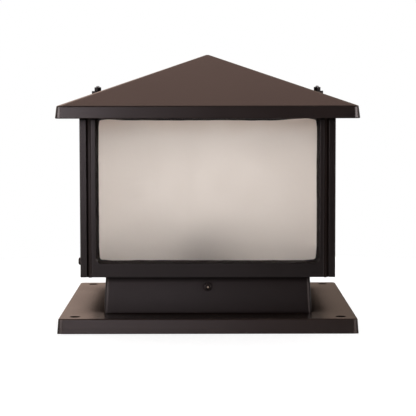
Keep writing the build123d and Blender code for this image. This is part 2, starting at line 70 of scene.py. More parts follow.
# Painted shade in the corners of the coats: how far out it reaches in metres, the shares of free sky between
# which walls and the base plate's top go from shaded to open, what is left of the colour there, and the
# power by which the gloss fades
CORNER_REACH = 0.04
BASE_CORNER_REACH = 0.0425
WALL_OPEN = (0.0, 0.75)
BASE_OPEN = (0.5, 0.95)
CORNER_SHADE_COLOUR = 0.9
CORNER_FADE = 2.5

# Shares of full coat colour and gloss left on the window's sloped edges, and in the painted shade under the
# roof's lip and under the lantern
SLOPED_EDGE = 0.62
UNDER_LIP = 0.2
UNDER_LANTERN = 0.5

# Heights between which the painted shade at the top of the panes sets in, in millimetres
TOP_SHADE_FOOT_Z = 192.0
TOP_SHADE_TOP_Z = 221.0

# Colours, as red, green and blue
# Near black for painted shade under the lip, under the lantern and in the anchor holes, and on sloped edges
DARKENING_COLOUR = (0.006, 0.005, 0.005)
WORN_COAT = (0.17, 0.135, 0.115)
GLASS_DARK = (0.985, 0.935, 0.895)
GLASS_LIGHT = (1.0, 0.95, 0.91)
# Painted shade at the top of the panes, where the roof shades them
GLASS_TOP_SHADE = (0.84, 0.735, 0.665)
SCREW_BLACK = (0.009, 0.008, 0.008)
SCREW_PAINT = (0.045, 0.034, 0.029)
SCREW_BRIGHT = (0.5, 0.42, 0.32)
SLEEVE_GREEN = (0.02, 0.17, 0.03)
SLEEVE_YELLOW = (0.55, 0.42, 0.02)

# Where most values of a noise pattern lie, and how much finer it is along each axis of drawn metal
NOISE_SPAN = (0.3, 0.7)
DRAWN_STRETCH = (1.0, 1.0, 6.0)


# Node helpers

def set_inputs(tree, target, inputs):
    """Gives each named socket of a node a value or a link."""
    for key, value in inputs.items():
        if isinstance(value, bpy.types.NodeSocket):
            tree.links.new(value, target.inputs[key])
        else:
            target.inputs[key].default_value = value


def node(tree, kind, inputs=None, **settings):
    """A new node of this kind, with its settings and inputs."""
    made = tree.nodes.new("ShaderNode" + kind)
    for key, value in settings.items():
        setattr(made, key, value)
    set_inputs(tree, made, inputs or {})
    return made


def new_material(name):
    """An empty node material with a Principled shader on its output."""
    material = bpy.data.materials.new(name)
    material.use_nodes = True
    tree = material.node_tree
    tree.nodes.clear()
    shader = node(tree, "BsdfPrincipled")
    node(tree, "OutputMaterial", {"Surface": shader.outputs["BSDF"]})
    return material, tree, shader


def object_coords(tree):
    """Object coordinates, which are the row frame's metres on every piece."""
    return node(tree, "TexCoord").outputs["Object"]


def split(tree, vector):
    """The X, Y and Z of a vector."""
    return node(tree, "SeparateXYZ", {"Vector": vector}).outputs


def math_node(tree, operation, first, second=0.0):
    """One arithmetic step on one or two values or links."""
    return node(tree, "Math", {0: first, 1: second}, operation=operation).outputs[0]


def sideways(tree, axes):
    """Distances from the two upright middle planes, X first."""
    return [math_node(tree, "ABSOLUTE", axes[axis]) for axis in ("X", "Y")]


def distance(tree, first, second):
    """Length of the step (first, second)."""
    squares = [math_node(tree, "MULTIPLY", value, value) for value in (first, second)]
    return math_node(tree, "SQRT", math_node(tree, "ADD", *squares))


def remap(tree, value, low, high, to_low=0.0, to_high=1.0, curve="LINEAR"):
    """value taken from low..high to to_low..to_high, held at both ends."""
    made = node(tree, "MapRange", {
        "Value": value, "From Min": low, "From Max": high, "To Min": to_low, "To Max": to_high,
    }, interpolation_type=curve)
    return made.outputs["Result"]


def remap_mm(tree, value, low, high, to_low=0.0, to_high=1.0, curve="LINEAR"):
    """remap of a length in metres, with low and high in millimetres."""
    return remap(tree, value, low * MM, high * MM, to_low, to_high, curve)


def between(tree, share, first, second):
    """A number between first and second."""
    return remap(tree, share, 0.0, 1.0, first, second)


def mix_colour(tree, share, first, second):
    """A colour between first and second, each a link or red, green and blue."""
    ends = [
        value if isinstance(value, bpy.types.NodeSocket) else (*value, 1.0)
        for value in (first, second)
    ]
    made = node(tree, "Mix", {"Factor": share, "A": ends[0], "B": ends[1]}, data_type="RGBA")
    return made.outputs["Result"]


def noise_value(tree, coords, scale, detail=3.0, rough=0.5):
    """A noise pattern's value, from 0 to 1. scale counts its waves in a metre."""
    made = node(tree, "TexNoise", {
        "Vector": coords, "Scale": scale, "Detail": detail, "Roughness": rough,
    })
    return made.outputs["Fac"]


def rounded_normal(tree, radius, samples=6):
    """The surface's normal, rounded over at every edge."""
    return node(tree, "Bevel", {"Radius": radius}, samples=samples).outputs["Normal"]


def bump(tree, height, strength, distance_out, normal=None):
    """A bump normal from a height pattern."""
    inputs = {"Height": height, "Strength": strength, "Distance": distance_out}
    if normal is not None:
        inputs["Normal"] = normal
    return node(tree, "Bump", inputs).outputs["Normal"]


# Shares of a surface, from 0 to 1

def edge_share(tree, radius, low, high):
    """How near a point is to an outer or inner edge."""
    soft = rounded_normal(tree, radius)
    plain = node(tree, "NewGeometry").outputs["Normal"]
    same = node(tree, "VectorMath", {0: soft, 1: plain}, operation="DOT_PRODUCT").outputs["Value"]
    return remap(tree, same, high, low)


def corner_shade_share(tree, coords, reach):
    """How open a point lies, for painted shade: 0 deep in a corner, 1 on a free face or the base's skirt."""
    free = node(tree, "AmbientOcclusion", {"Distance": reach}, samples=8).outputs["AO"]
    height = split(tree, coords)["Z"]
    skirt = remap_mm(tree, height, BASE_TOP_Z - 0.6, BASE_TOP_Z - 0.1, 1.0, 0.0)
    facing_up = split(tree, node(tree, "NewGeometry").outputs["Normal"])["Z"]
    low_down = remap_mm(tree, height, BASE_TOP_Z + 2.0, BASE_TOP_Z + 6.0, 1.0, 0.0)
    on_base = math_node(tree, "MULTIPLY", remap(tree, facing_up, 0.5, 0.8), low_down)
    least = between(tree, on_base, WALL_OPEN[0], BASE_OPEN[0])
    most = between(tree, on_base, WALL_OPEN[1], BASE_OPEN[1])
    return math_node(tree, "MAXIMUM", remap(tree, free, least, most), skirt)


def anchor_shade_share(tree, coords):
    """0 in the walls of the four anchor holes, painted shade that turns them near black and dull, and 1
    elsewhere.
    """
    aside = sideways(tree, split(tree, coords))
    offsets = [math_node(tree, "SUBTRACT", value, ANCHOR_REACH * MM) for value in aside]
    return remap_mm(tree, distance(tree, *offsets), ANCHOR_RADIUS + 0.2, ANCHOR_RADIUS + 0.5)


def rebate_share(tree, coords):
    """Low on a window's sloped edge, and lowest in the painted shadow under the roof's lip.

    1 on the sill and on the frame's face.
    """
    axes = split(tree, coords)
    aside = sideways(tree, axes)
    face = remap_mm(tree, math_node(tree, "MAXIMUM", *aside), LANTERN_HALF - 0.6, LANTERN_HALF - 0.1)
    edge = remap_mm(tree, math_node(tree, "MINIMUM", *aside), BEVEL_HALF + 0.1, BEVEL_HALF + 0.5)
    sill = remap_mm(tree, axes["Z"], SILL_Z + 1.0, SILL_Z + WINDOW_CORNER, 1.0, 0.0)
    untouched = math_node(tree, "MAXIMUM", math_node(tree, "MAXIMUM", face, edge), sill)
    sloped = between(tree, untouched, SLOPED_EDGE, 1.0)
    # Painted shadow of the roof's lip: a dark band just below and above the window head
    below = remap_mm(tree, axes["Z"], WINDOW_HEAD_Z - 2.9, WINDOW_HEAD_Z - 1.5, 1.0, UNDER_LIP)
    above = remap_mm(tree, axes["Z"], WINDOW_HEAD_Z + 0.5, WINDOW_HEAD_Z + 2.5, UNDER_LIP, 1.0)
    return math_node(tree, "MINIMUM", sloped, math_node(tree, "MAXIMUM", below, above))


def neck_shade_share(tree, coords):
    """Low at the top of the neck, painted shade under the lantern, and 1 further down."""
    height = split(tree, coords)["Z"]
    return remap_mm(tree, height, LANTERN_FOOT_Z - 8.5, LANTERN_FOOT_Z - 3.2, 1.0, UNDER_LANTERN)


# Materials

def powder_coat(name, dark, light, roughness=0.235, wear=0.1, full_tone_share=None, gloss=0.5,
                reach=CORNER_REACH):
    """Satin powder coat: orange peel, faint smudges, paler edges, and painted shade where its shares are low.
    """
    material, tree, shader = new_material(name)
    coords = object_coords(tree)
    patches = remap(tree, noise_value(tree, coords, 14.0, detail=4.0), 0.15, 0.85, curve="SMOOTHERSTEP")
    colour = mix_colour(tree, patches, dark, light)
    specks = noise_value(tree, coords, 1400.0, detail=2.0, rough=0.7)
    specks = remap(tree, specks, 0.62, 0.78, 0.0, 0.3)
    colour = mix_colour(tree, specks, colour, [value * 1.4 for value in light])
    rubbed = remap(tree, noise_value(tree, coords, 160.0, detail=4.0, rough=0.7), 0.4, 0.75, 0.0, wear)
    worn = math_node(tree, "MULTIPLY", edge_share(tree, 0.0012, 0.86, 0.995), rubbed)
    colour = mix_colour(tree, worn, colour, WORN_COAT)
    # Painted shade: colour and gloss fall off in corners, under overhangs and next to the neck
    open_share = corner_shade_share(tree, coords, reach)
    colour = mix_colour(tree, open_share, [value * CORNER_SHADE_COLOUR for value in dark], colour)
    # Painted shade: near black and without gloss where the share is low
    if full_tone_share:
        full_tone = full_tone_share(tree, coords)
        colour = mix_colour(tree, full_tone, DARKENING_COLOUR, colour)
        open_share = math_node(tree, "MULTIPLY", open_share, full_tone)
    sheen = math_node(tree, "POWER", open_share, CORNER_FADE)
    smudges = noise_value(tree, coords, 18.0)
    peel = noise_value(tree, coords, 900.0, detail=2.0)
    set_inputs(tree, shader, {
        "Base Color": colour,
        "Specular IOR Level": math_node(tree, "MULTIPLY", sheen, gloss),
        "Roughness": remap(tree, smudges, 0.1, 0.9, roughness - 0.03, roughness + 0.03, "SMOOTHERSTEP"),
        "Normal": bump(tree, peel, 0.05, 0.0002, rounded_normal(tree, 0.0005)),
        "IOR": 1.47,
    })
    return material


def frosted_glass():
    """Sand-blasted pane that scatters light, with a fine grain, faint clouds and painted shade near its top.
    """
    material, tree, shader = new_material("frosted_glass")
    coords = object_coords(tree)
    cloud = remap(tree, noise_value(tree, coords, 12.0, detail=4.0, rough=0.55), *NOISE_SPAN)
    colour = mix_colour(tree, cloud, GLASS_DARK, GLASS_LIGHT)
    drift = remap(tree, noise_value(tree, coords, 25.0), *NOISE_SPAN, -0.004, 0.004)
    height = math_node(tree, "ADD", split(tree, coords)["Z"], drift)
    # Painted shade: the pane darkens towards its top, as the roof shades it
    top_shade = remap_mm(tree, height, TOP_SHADE_FOOT_Z, TOP_SHADE_TOP_Z, curve="SMOOTHSTEP")
    grain = noise_value(tree, coords, 1500.0, rough=0.6)
    set_inputs(tree, shader, {
        "Base Color": mix_colour(tree, top_shade, colour, GLASS_TOP_SHADE),
        "Roughness": remap(tree, noise_value(tree, coords, 40.0), *NOISE_SPAN, 0.6, 0.68),
        "Normal": bump(tree, grain, 0.15, 0.0001),
        "Transmission Weight": 1.0,
        "IOR": 1.46,
    })
    return material


def rubber(name, dark, light):
    """Matt rubber or sealant with a dusty bloom."""
    material, tree, shader = new_material(name)
    coords = object_coords(tree)
    bloom = remap(tree, noise_value(tree, coords, 90.0, detail=5.0, rough=0.65), 0.35, 0.75)
    set_inputs(tree, shader, {
        "Base Color": mix_colour(tree, bloom, dark, light),
        "Roughness": between(tree, bloom, 0.55, 0.8),
        "Normal": bump(tree, noise_value(tree, coords, 700.0), 0.2, 0.0002),
    })
    return material


def metal(name, dark, light, roughness, bare=1.0):
    """Bare or plated metal with drawn lines, stains and duller patches."""
    material, tree, shader = new_material(name)
    coords = object_coords(tree)
    drawn = node(tree, "Mapping", {"Vector": coords, "Scale": DRAWN_STRETCH}).outputs["Vector"]
    lines = noise_value(tree, drawn, 500.0, detail=4.0, rough=0.6)
    stains = remap(tree, noise_value(tree, coords, 220.0, detail=4.0, rough=0.6), 0.35, 0.7)
    set_inputs(tree, shader, {
        "Base Color": mix_colour(tree, stains, dark, light),
        "Roughness": remap(tree, lines, *NOISE_SPAN, roughness - 0.07, roughness + 0.1),
        "Normal": bump(tree, lines, 0.1, 0.00005, rounded_normal(tree, 0.00025, samples=4)),
        "Metallic": bare,
    })
    return material


def moulding(name, dark, light, roughness, grain_scale=400.0, subsurface=0.0):
    """Moulded plastic with a light grain and uneven gloss."""
    material, tree, shader = new_material(name)
    coords = object_coords(tree)
    tone = remap(tree, noise_value(tree, coords, 30.0, detail=4.0, rough=0.6), *NOISE_SPAN)
    uneven = noise_value(tree, coords, 120.0)
    grain = noise_value(tree, coords, grain_scale, detail=2.0)
    set_inputs(tree, shader, {
        "Base Color": mix_colour(tree, tone, dark, light),
        "Roughness": remap(tree, uneven, *NOISE_SPAN, roughness - 0.06, roughness + 0.08),
        "Normal": bump(tree, grain, 0.08, 0.0001),
        "Subsurface Weight": subsurface,
        "Subsurface Radius": (0.004, 0.004, 0.004),
    })
    return material


def neck_screw_metal():
    """Black zinc screw with paint on its rim, a small bright metal centre and a dark, nearly unglossed ring.
    """
    material, tree, shader = new_material("neck_screw")
    coords = object_coords(tree)
    axes = split(tree, coords)
    rise = math_node(tree, "SUBTRACT", axes["Z"], NECK_SCREW_Z * MM)
    ragged = remap(tree, noise_value(tree, coords, 900.0), *NOISE_SPAN, -0.0003, 0.0003)
    reach = math_node(tree, "ADD", distance(tree, axes["X"], rise), ragged)
    bright = remap_mm(tree, reach, 0.8, 1.4, 1.0, 0.0)
    painted = remap_mm(tree, reach, 2.3, 2.9)
    colour = mix_colour(tree, painted, SCREW_BLACK, SCREW_PAINT)
    set_inputs(tree, shader, {
        "Base Color": mix_colour(tree, bright, colour, SCREW_BRIGHT),
        "Specular IOR Level": between(tree, painted, 0.06, 0.45),
        "Metallic": bright,
        "Roughness": between(tree, bright, 0.42, 0.3),
        "Normal": rounded_normal(tree, 0.0003),
    })
    return material


def striped_pvc():
    """Green wire sleeve with slanting yellow stripes."""
    material, tree, shader = new_material("green_pvc")
    waves = {"Vector": object_coords(tree), "Scale": 55.0, "Distortion": 0.6}
    bands = node(tree, "TexWave", waves, bands_direction="DIAGONAL").outputs["Fac"]
    set_inputs(tree, shader, {
        "Base Color": mix_colour(tree, remap(tree, bands, 0.5, 0.6), SLEEVE_GREEN, SLEEVE_YELLOW),
        "Roughness": 0.36,
    })
    return material


# The base plate's coat is a lighter copy and the frames' and neck's coats darker copies of one powder coat:
# painted light and shade
coat = powder_coat("powder_coat", (0.047, 0.032, 0.0255), (0.053, 0.036, 0.0285))
lit_base_coat = powder_coat("lit_base_coat", (0.06, 0.041, 0.0325), (0.067, 0.046, 0.0365), full_tone_share=anchor_shade_share,
                        reach=BASE_CORNER_REACH)
shaded_frame_coat = powder_coat("shaded_frame_coat", (0.032, 0.0245, 0.0215), (0.0365, 0.028, 0.0245),
                         full_tone_share=rebate_share)
shaded_neck_coat = powder_coat("shaded_neck_coat", (0.041, 0.031, 0.0275), (0.046, 0.035, 0.031), full_tone_share=neck_shade_share)
primer = powder_coat("primer", (0.26, 0.245, 0.23), (0.29, 0.275, 0.26), roughness=0.4)
screw_black = powder_coat("screw_black", (0.016, 0.014, 0.014), (0.028, 0.025, 0.025), roughness=0.32,
                          wear=0.3, gloss=0.2)
glass = frosted_glass()
seal = rubber("seal_rubber", (0.012, 0.011, 0.011), (0.03, 0.028, 0.027))
zinc = metal("zinc_steel", (0.42, 0.41, 0.39), (0.62, 0.61, 0.59), 0.28)
stud_zinc = metal("stud_zinc", (0.62, 0.61, 0.6), (0.75, 0.74, 0.73), 0.4, bare=0.2)
brass = metal("brass", (0.55, 0.38, 0.14), (0.72, 0.53, 0.23), 0.25)
bakelite = moulding("bakelite", (0.012, 0.011, 0.011), (0.022, 0.02, 0.019), 0.28)
nylon = moulding("nylon", (0.62, 0.6, 0.55), (0.7, 0.68, 0.63), 0.45, grain_scale=300.0, subsurface=0.2)
brown_pvc = moulding("brown_pvc", (0.09, 0.035, 0.015), (0.12, 0.05, 0.022), 0.35)
blue_pvc = moulding("blue_pvc", (0.012, 0.05, 0.25), (0.02, 0.07, 0.32), 0.35)
green_pvc = striped_pvc()
neck_screw = neck_screw_metal()

# A node takes its slot's material, or its own where it has one
SLOT_MATERIALS = {
    "powder_coat": coat, "frosted_glass": glass, "seal_rubber": seal, "dark_screw": screw_black,
    "zinc_steel": zinc, "bakelite": bakelite, "brass": brass, "nylon": nylon, "brown_pvc": brown_pvc,
    "blue_pvc": blue_pvc, "green_pvc": green_pvc,
}
OWN_MATERIALS = {
    "neck_screws": neck_screw, "neck": shaded_neck_coat, "base_plate": lit_base_coat, "floor_tray": primer,
}
OWN_MATERIALS.update({"frame_" + side: shaded_frame_coat for side in SIDES})
for entry in frame["record"]["subparts"]:
    slots = nodes[entry["node"]].data.materials
    slots.clear()
    slots.append(OWN_MATERIALS.get(entry["node"], SLOT_MATERIALS[entry["material_slot"]]))


# Pieces made here

# Gasket: length of a step along it and steps round a corner. Its section reaches out under the frame and lies
# between the frame and the pane, in millimetres inward over the glass and out from the frame's back
GASKET_STEP = 2.0
CORNER_STEPS = 8
GASKET_SEAT = -3.0
GASKET_FRONT = -0.03
GASKET_BACK = -0.96

# Lip of the gasket, in millimetres: waves in a millimetre and how much quicker the fine ones are, reaches of
# the fuller corners, and the sag along the head, with its distance from the sides, shift and ramp
LIP_WAVES = 0.022
LIP_QUICKER = 4.3
FOOT_CORNER_REACH = 14.0
HEAD_CORNER_REACH = 10.0
SAG_INSET = 4.0
SAG_SHIFT = 6.0
SAG_RAMP = 40.0

# Hexagons: points round one, the circle that their corners are turned to and its chamfer
NUT_POINTS = 72
NUT_BORE = STUD_RADIUS + 0.05
TURNED_RADIUS = NUT_FLATS / 2 * 1.01
CHAMFER_SLOPE = math.tan(math.radians(30.0))
CHAMFER_STEP = 0.02
BORE_CHAMFER_WIDTH = 0.35
BORE_CHAMFER_DEPTH = 0.3

# Thread of the studs
STUD_POINTS = 24
THREAD_LENGTH = 20.0
THREAD_PITCH = 0.7
THREAD_DEPTH = 0.36
THREAD_START = 0.4
RINGS_PER_TURN = 8
TIP_CHAMFER = 0.35

# Thread of the lamp socket
SOCKET_GAP = 0.05
SOCKET_WALL = 0.35
SOCKET_PITCH = 3.6
SOCKET_DEPTH = 0.5
SOCKET_POINTS = 64
SOCKET_STEPS = 72

SHARP_ANGLE = math.radians(32.0)


def make_object(name, build, material, body, slot, *replaced):
    """Turns a bmesh into a smooth-shaded piece that rides on a body and stands for CAD nodes."""
    bmesh.ops.recalc_face_normals(build, faces=build.faces)
    mesh = bpy.data.meshes.new(name)
    build.to_mesh(mesh)
    build.free()
    for face in mesh.polygons:
        face.use_smooth = True
    mesh.set_sharp_from_angle(angle=SHARP_ANGLE)
    mesh.materials.append(material)
    piece = bpy.data.objects.new(name, mesh)
    bpy.context.scene.collection.objects.link(piece)
    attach(piece, body)
    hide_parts(*replaced)


def add_rings(build, rings, closed=False):
    """Skins rings of points, all of one length, into a tube. Open tubes get caps."""
    made = [[build.verts.new(point) for point in ring] for ring in rings]
    count = len(made[0])
    pairs = list(zip(made, made[1:]))
    if closed:
        pairs.append((made[-1], made[0]))
    for first, second in pairs:
        for index in range(count):
            after = (index + 1) % count
            build.faces.new((first[index], first[after], second[after], second[index]))
    if not closed:
        build.faces.new(made[0])
        build.faces.new(made[-1])


def window_path():
    """Points round the window opening, anticlockwise from its lower right corner, in millimetres.

    Each is (u, v, inward u, inward v).
    """
    middle = (SILL_Z + WINDOW_HEAD_Z) / 2
    reach_u = WINDOW_HALF - WINDOW_CORNER
    reach_v = (WINDOW_HEAD_Z - SILL_Z) / 2 - WINDOW_CORNER
    corners = ((1, -1, -90), (1, 1, 0), (-1, 1, 90), (-1, -1, 180))
    points = []
    for number, (side_u, side_v, start) in enumerate(corners):
        centre_u = side_u * reach_u
        centre_v = middle + side_v * reach_v
        for part in range(CORNER_STEPS + 1):
            angle = math.radians(start + 90 * part / CORNER_STEPS)
            out_u = math.cos(angle)
            out_v = math.sin(angle)
            edge_u = centre_u + WINDOW_CORNER * out_u
            edge_v = centre_v + WINDOW_CORNER * out_v
            points.append((edge_u, edge_v, -out_u, -out_v))
        last_u, last_v, in_u, in_v = points[-1]
        next_u, next_v, _ = corners[(number + 1) % len(corners)]
        far_u = next_u * reach_u - in_u * WINDOW_CORNER
        far_v = middle + next_v * reach_v - in_v * WINDOW_CORNER
        near = Vector((last_u, last_v))
        far = Vector((far_u, far_v))
        pieces = max(2, int((far - near).length / GASKET_STEP))
        for part in range(1, pieces):
            spot = near.lerp(far, part / pieces)
            points.append((spot.x, spot.y, in_u, in_v))
    return points


def to_side(u, v, depth, turns):
    """A point of a lantern side, in metres: u along it, v up, depth out from the centre line."""
    x, y = u, -depth
    for _ in range(turns):
        x, y = -y, x
    return Vector((x, y, v)) * MM


def lip_reach(u, v, turns):
    """How far the gasket's lip is pressed out over the glass at a point of the edge, in millimetres."""
    spot = Vector((u * LIP_WAVES, v * LIP_WAVES, 7.3 * turns + 1.7))
    slow = noise.noise(spot)
    quick = noise.noise(spot * LIP_QUICKER)
    from_side = abs(abs(u) - WINDOW_HALF)
    foot_corner = max(0.0, 1.0 - (from_side + abs(v - SILL_Z)) / FOOT_CORNER_REACH)
    head_corner = max(0.0, 1.0 - (from_side + abs(v - WINDOW_HEAD_Z)) / HEAD_CORNER_REACH)
    head = min(1.0, max(0.0, (v - WINDOW_HEAD_Z + WINDOW_CORNER) / WINDOW_CORNER))
    sag = 0.0
    if v > WINDOW_HEAD_Z - 1.0:
        sag = min(1.0, max(0.0, (WINDOW_HALF - SAG_INSET - abs(u + SAG_SHIFT)) / SAG_RAMP))
        sag = sag * sag * (3.0 - 2.0 * sag)
    uneven = 0.1 + 0.4 * slow + 0.22 * quick
    return max(0.0, uneven + 1.2 * foot_corner + 1.4 * head_corner + 0.9 * head + 1.6 * sag)


def make_gasket(side, turns):
    """Sealing strip between frame and pane, its lip pressed out unevenly round the glass."""
    frame_back = LANTERN_HALF - FRAME_THICKNESS
    rings = []
    for u, v, in_u, in_v in window_path():
        lip = lip_reach(u, v, turns)
        section = (
            (GASKET_SEAT, GASKET_FRONT), (-0.1, GASKET_FRONT), (0.12, 0.25), (lip * 0.7, 0.38), (lip, 0.2),
            (lip + 0.18, -0.3), (lip + 0.05, GASKET_BACK), (GASKET_SEAT, GASKET_BACK),
        )
        rings.append([
            to_side(u + in_u * inward, v + in_v * inward, frame_back + out, turns) for inward, out in section
        ])
    build = bmesh.new()
    add_rings(build, rings, closed=True)
    make_object("gasket_bead_" + side, build, seal, "lantern", "seal_rubber", "gasket_" + side)


def on_circle(x, radius, turn, height):
    """A point in metres on a level circle round the upright axis at x. turn is a share of the circle."""
    angle = 2 * math.pi * turn
    return Vector((x + radius * math.cos(angle), radius * math.sin(angle), height)) * MM


def circle_ring(x, radius, height, count):
    """A level circle of points."""
    return [on_circle(x, radius, index / count, height) for index in range(count)]


def hexagon_ring(x, level, way, count):
    """A hexagon's outline where a chamfer cuts it. level is its end face, and way points into it."""
    points = []
    for index in range(count):
        turn = index / count
        off = (turn * 6 + 0.5) % 1.0 - 0.5
        radius = NUT_FLATS / 2 / math.cos(off * math.pi / 3)
        cut = max(0.0, radius - TURNED_RADIUS) * CHAMFER_SLOPE + CHAMFER_STEP
        points.append(on_circle(x, radius, turn, level + way * cut))
    return points


def hexagon_rings(x, foot, height, count, bore=0.0):
    """Rings of a hexagon nut or bolt head with turned corners. bore is a nut's radius inside."""
    top = foot + height
    rings = [
        circle_ring(x, TURNED_RADIUS, foot, count),
        hexagon_ring(x, foot, 1, count),
        hexagon_ring(x, top, -1, count),
        circle_ring(x, TURNED_RADIUS, top, count),
    ]
    if bore:
        mouth = bore + BORE_CHAMFER_WIDTH
        rings.insert(0, circle_ring(x, mouth, foot, count))
        rings.insert(0, circle_ring(x, bore, foot + BORE_CHAMFER_DEPTH, count))
        rings.append(circle_ring(x, mouth, top, count))
        rings.append(circle_ring(x, bore, top - BORE_CHAMFER_DEPTH, count))
    return rings


def thread_rings(x, foot, top):
    """Rings of a stud's rod, whose upper part carries a helical thread and ends in a chamfered tip."""
    start = top - THREAD_LENGTH
    steps = int(THREAD_LENGTH / THREAD_PITCH * RINGS_PER_TURN)
    rings = [circle_ring(x, STUD_RADIUS, level, STUD_POINTS) for level in (foot, start - THREAD_START)]
    for step in range(steps + 1):
        level = start + (THREAD_LENGTH - 2 * TIP_CHAMFER) * step / steps
        ring = []
        for index in range(STUD_POINTS):
            turn = index / STUD_POINTS
            wave = abs(((level / THREAD_PITCH - turn) % 1.0) * 2.0 - 1.0)
            ring.append(on_circle(x, STUD_RADIUS - THREAD_DEPTH * wave, turn, level))
        rings.append(ring)
    core = STUD_RADIUS - THREAD_DEPTH
    rings.append(circle_ring(x, core, top - TIP_CHAMFER, STUD_POINTS))
    rings.append(circle_ring(x, core - TIP_CHAMFER, top, STUD_POINTS))
    return rings


def make_fasteners():
    """Roof studs with rolled threads, their lock nuts and the two roof nuts."""
    low, high = [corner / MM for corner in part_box("roof_studs")]
    ring_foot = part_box("top_ring")[0].z / MM
    build = bmesh.new()
    for side in (-1, 1):
        head = hexagon_rings(side * STUD_REACH, low.z, ring_foot - low.z, STUD_POINTS)
        add_rings(build, head + thread_rings(side * STUD_REACH, ring_foot, high.z))
    make_object("threaded_studs", build, stud_zinc, "lantern", "zinc_steel", "roof_studs")
    low, high = [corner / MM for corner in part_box("stud_lock_nuts")]
    build = bmesh.new()
    for side in (-1, 1):
        nut = hexagon_rings(side * STUD_REACH, low.z, high.z - low.z, NUT_POINTS, NUT_BORE)
        add_rings(build, nut, closed=True)
    make_object("chamfered_lock_nuts", build, zinc, "lantern", "zinc_steel", "stud_lock_nuts")
    for name, side in (("left", -1), ("right", 1)):
        low, high = [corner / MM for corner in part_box("roof_nut_" + name)]
        build = bmesh.new()
        nut = hexagon_rings(side * STUD_REACH, low.z, high.z - low.z, NUT_POINTS, NUT_BORE)
        add_rings(build, nut, closed=True)
        make_object("chamfered_nut_" + name, build, screw_black, name + "_nut", "dark_screw",
                    "roof_nut_" + name)


def make_socket_thread():
    """Brass shell of the lamp holder, with the round thread of a 27 mm lamp cap rolled into it."""
    low, high = [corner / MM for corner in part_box("holder_shell")]
    outer = high.x - SOCKET_GAP
    outside = [(step, 0.0) for step in range(SOCKET_STEPS + 1)]
    inside = [(step, SOCKET_WALL) for step in range(SOCKET_STEPS, -1, -1)]
    rings = []
    for step, inset in outside + inside:
        level = low.z + (high.z - low.z) * step / SOCKET_STEPS
        ring = []
        for index in range(SOCKET_POINTS):
            turn = index / SOCKET_POINTS
            wave = 0.5 - 0.5 * math.cos(2 * math.pi * ((level - low.z) / SOCKET_PITCH - turn))
            ring.append(on_circle(0.0, outer - SOCKET_DEPTH * wave - inset, turn, level))
        rings.append(ring)
    build = bmesh.new()
    add_rings(build, rings, closed=True)
    make_object("rolled_socket", build, brass, "lantern", "brass", "holder_shell")


for number, side in enumerate(SIDES):
    make_gasket(side, number)
make_fasteners()
make_socket_thread()


# Floor, surroundings, lights and camera

# Floor, in metres: white to the camera, a little less so near the object, with painted shadow under the base
# plate
FLOOR_RADIUS = 0.6
FLOOR_FADE = (0.26, 0.58)
FLOOR_NEAR = 0.88
FLOOR_GREY = (0.3, 0.3, 0.3, 1.0)
FLOOR_IN_METAL = (0.06, 0.063, 0.075, 1.0)

# How bright the surroundings are where the metal mirrors them, and the fill light from all round
HORIZON_LEFT = (0.54, 0.405, 0.34)
HORIZON_RIGHT = (0.125, 0.098, 0.079)
BACKDROP_LEFT = (1.25, 0.91, 0.77)
BACKDROP_RIGHT = (0.3, 0.22, 0.17)
BACKDROP_HIGH = (0.42, 0.275, 0.245)
FRONT_LOW = (0.01, 0.01, 0.01)
FRONT_LEFT = (0.17, 0.145, 0.16)
FRONT_RIGHT = (0.02, 0.035, 0.055)
SIDE_LEFT = (0.35, 0.3, 0.3)
SIDE_RIGHT = (1.0, 0.83, 0.83)
SIDE_LOW = (0.3, 0.26, 0.26)
STRIP_LEFT = (2.4, 2.1, 2.2)
STRIP_RIGHT = (1.1, 0.9, 0.9)
STRIP_HIGH = (9.0, 8.0, 8.0)
STUDIO_FILL = (0.03, 0.03, 0.03)
WHITE = (1.0, 1.0, 1.0)
ROSE = (1.0, 0.87, 0.93)

# Where one part of the surroundings passes into the next, as parts of a direction of length 1:
# X to the right, Y to the rear and Z up
LEFT_TO_RIGHT = (-0.12, 0.12)
HORIZON_TO_BACKDROP = (0.16, 0.27)
BACKDROP_TO_HIGH = (0.4, 0.6)
FRONT_RISE = (-0.05, 0.05)
FRONT_TO_REAR = (0.1, 0.5)
SIDE_START = (0.72, 0.86)
SIDE_RISE = (0.06, 0.15)
STRIP_START = (0.38, 0.55)
STRIP_REAR_END = (-0.35, -0.15)
STRIP_TOP = (0.2, 0.32)

# Soft lights: name, place and aim in metres, width and height, power in watts, colour, and mirrored or not
SOFTBOXES = (
    ("key_light", (-0.6, 0.6, 1.6), (0.0, 0.0, 0.1), 1.0, 1.0, 11.5, WHITE, False),
    ("top_light", (0.5, 0.25, 1.8), (0.0, 0.0, 0.1), 1.2, 1.2, 14.5, WHITE, False),
    ("left_light", (-0.52, -2.1, 0.5), (0.0, 0.0, 0.12), 0.42, 0.72, 5.2, ROSE, True),
    ("skirt_light", (-0.22, -2.1, 0.03), (0.0, 0.0, 0.0), 0.56, 0.12, 0.52, ROSE, True),
)

# Camera fitted to the photograph: place in metres, lens and sensor in millimetres, tilt and roll in degrees
CAMERA_PLACE = (0.0, -1.7774, 0.2518)
CAMERA_SENSOR = 36.0
CAMERA_LENS = 142.1
CAMERA_SHIFT = (0.0007, 0.001)
CAMERA_DIP = 4.43
CAMERA_ROLL = -0.1
CAMERA_END = 20.0


def ray_shares(tree):
    """1 on rays from the camera, also through the glass, and 1 on rays that the metal mirrors."""
    path = node(tree, "LightPath").outputs
    seen = math_node(tree, "MAXIMUM", path["Is Camera Ray"], path["Is Transmission Ray"])
    return seen, path["Is Glossy Ray"]


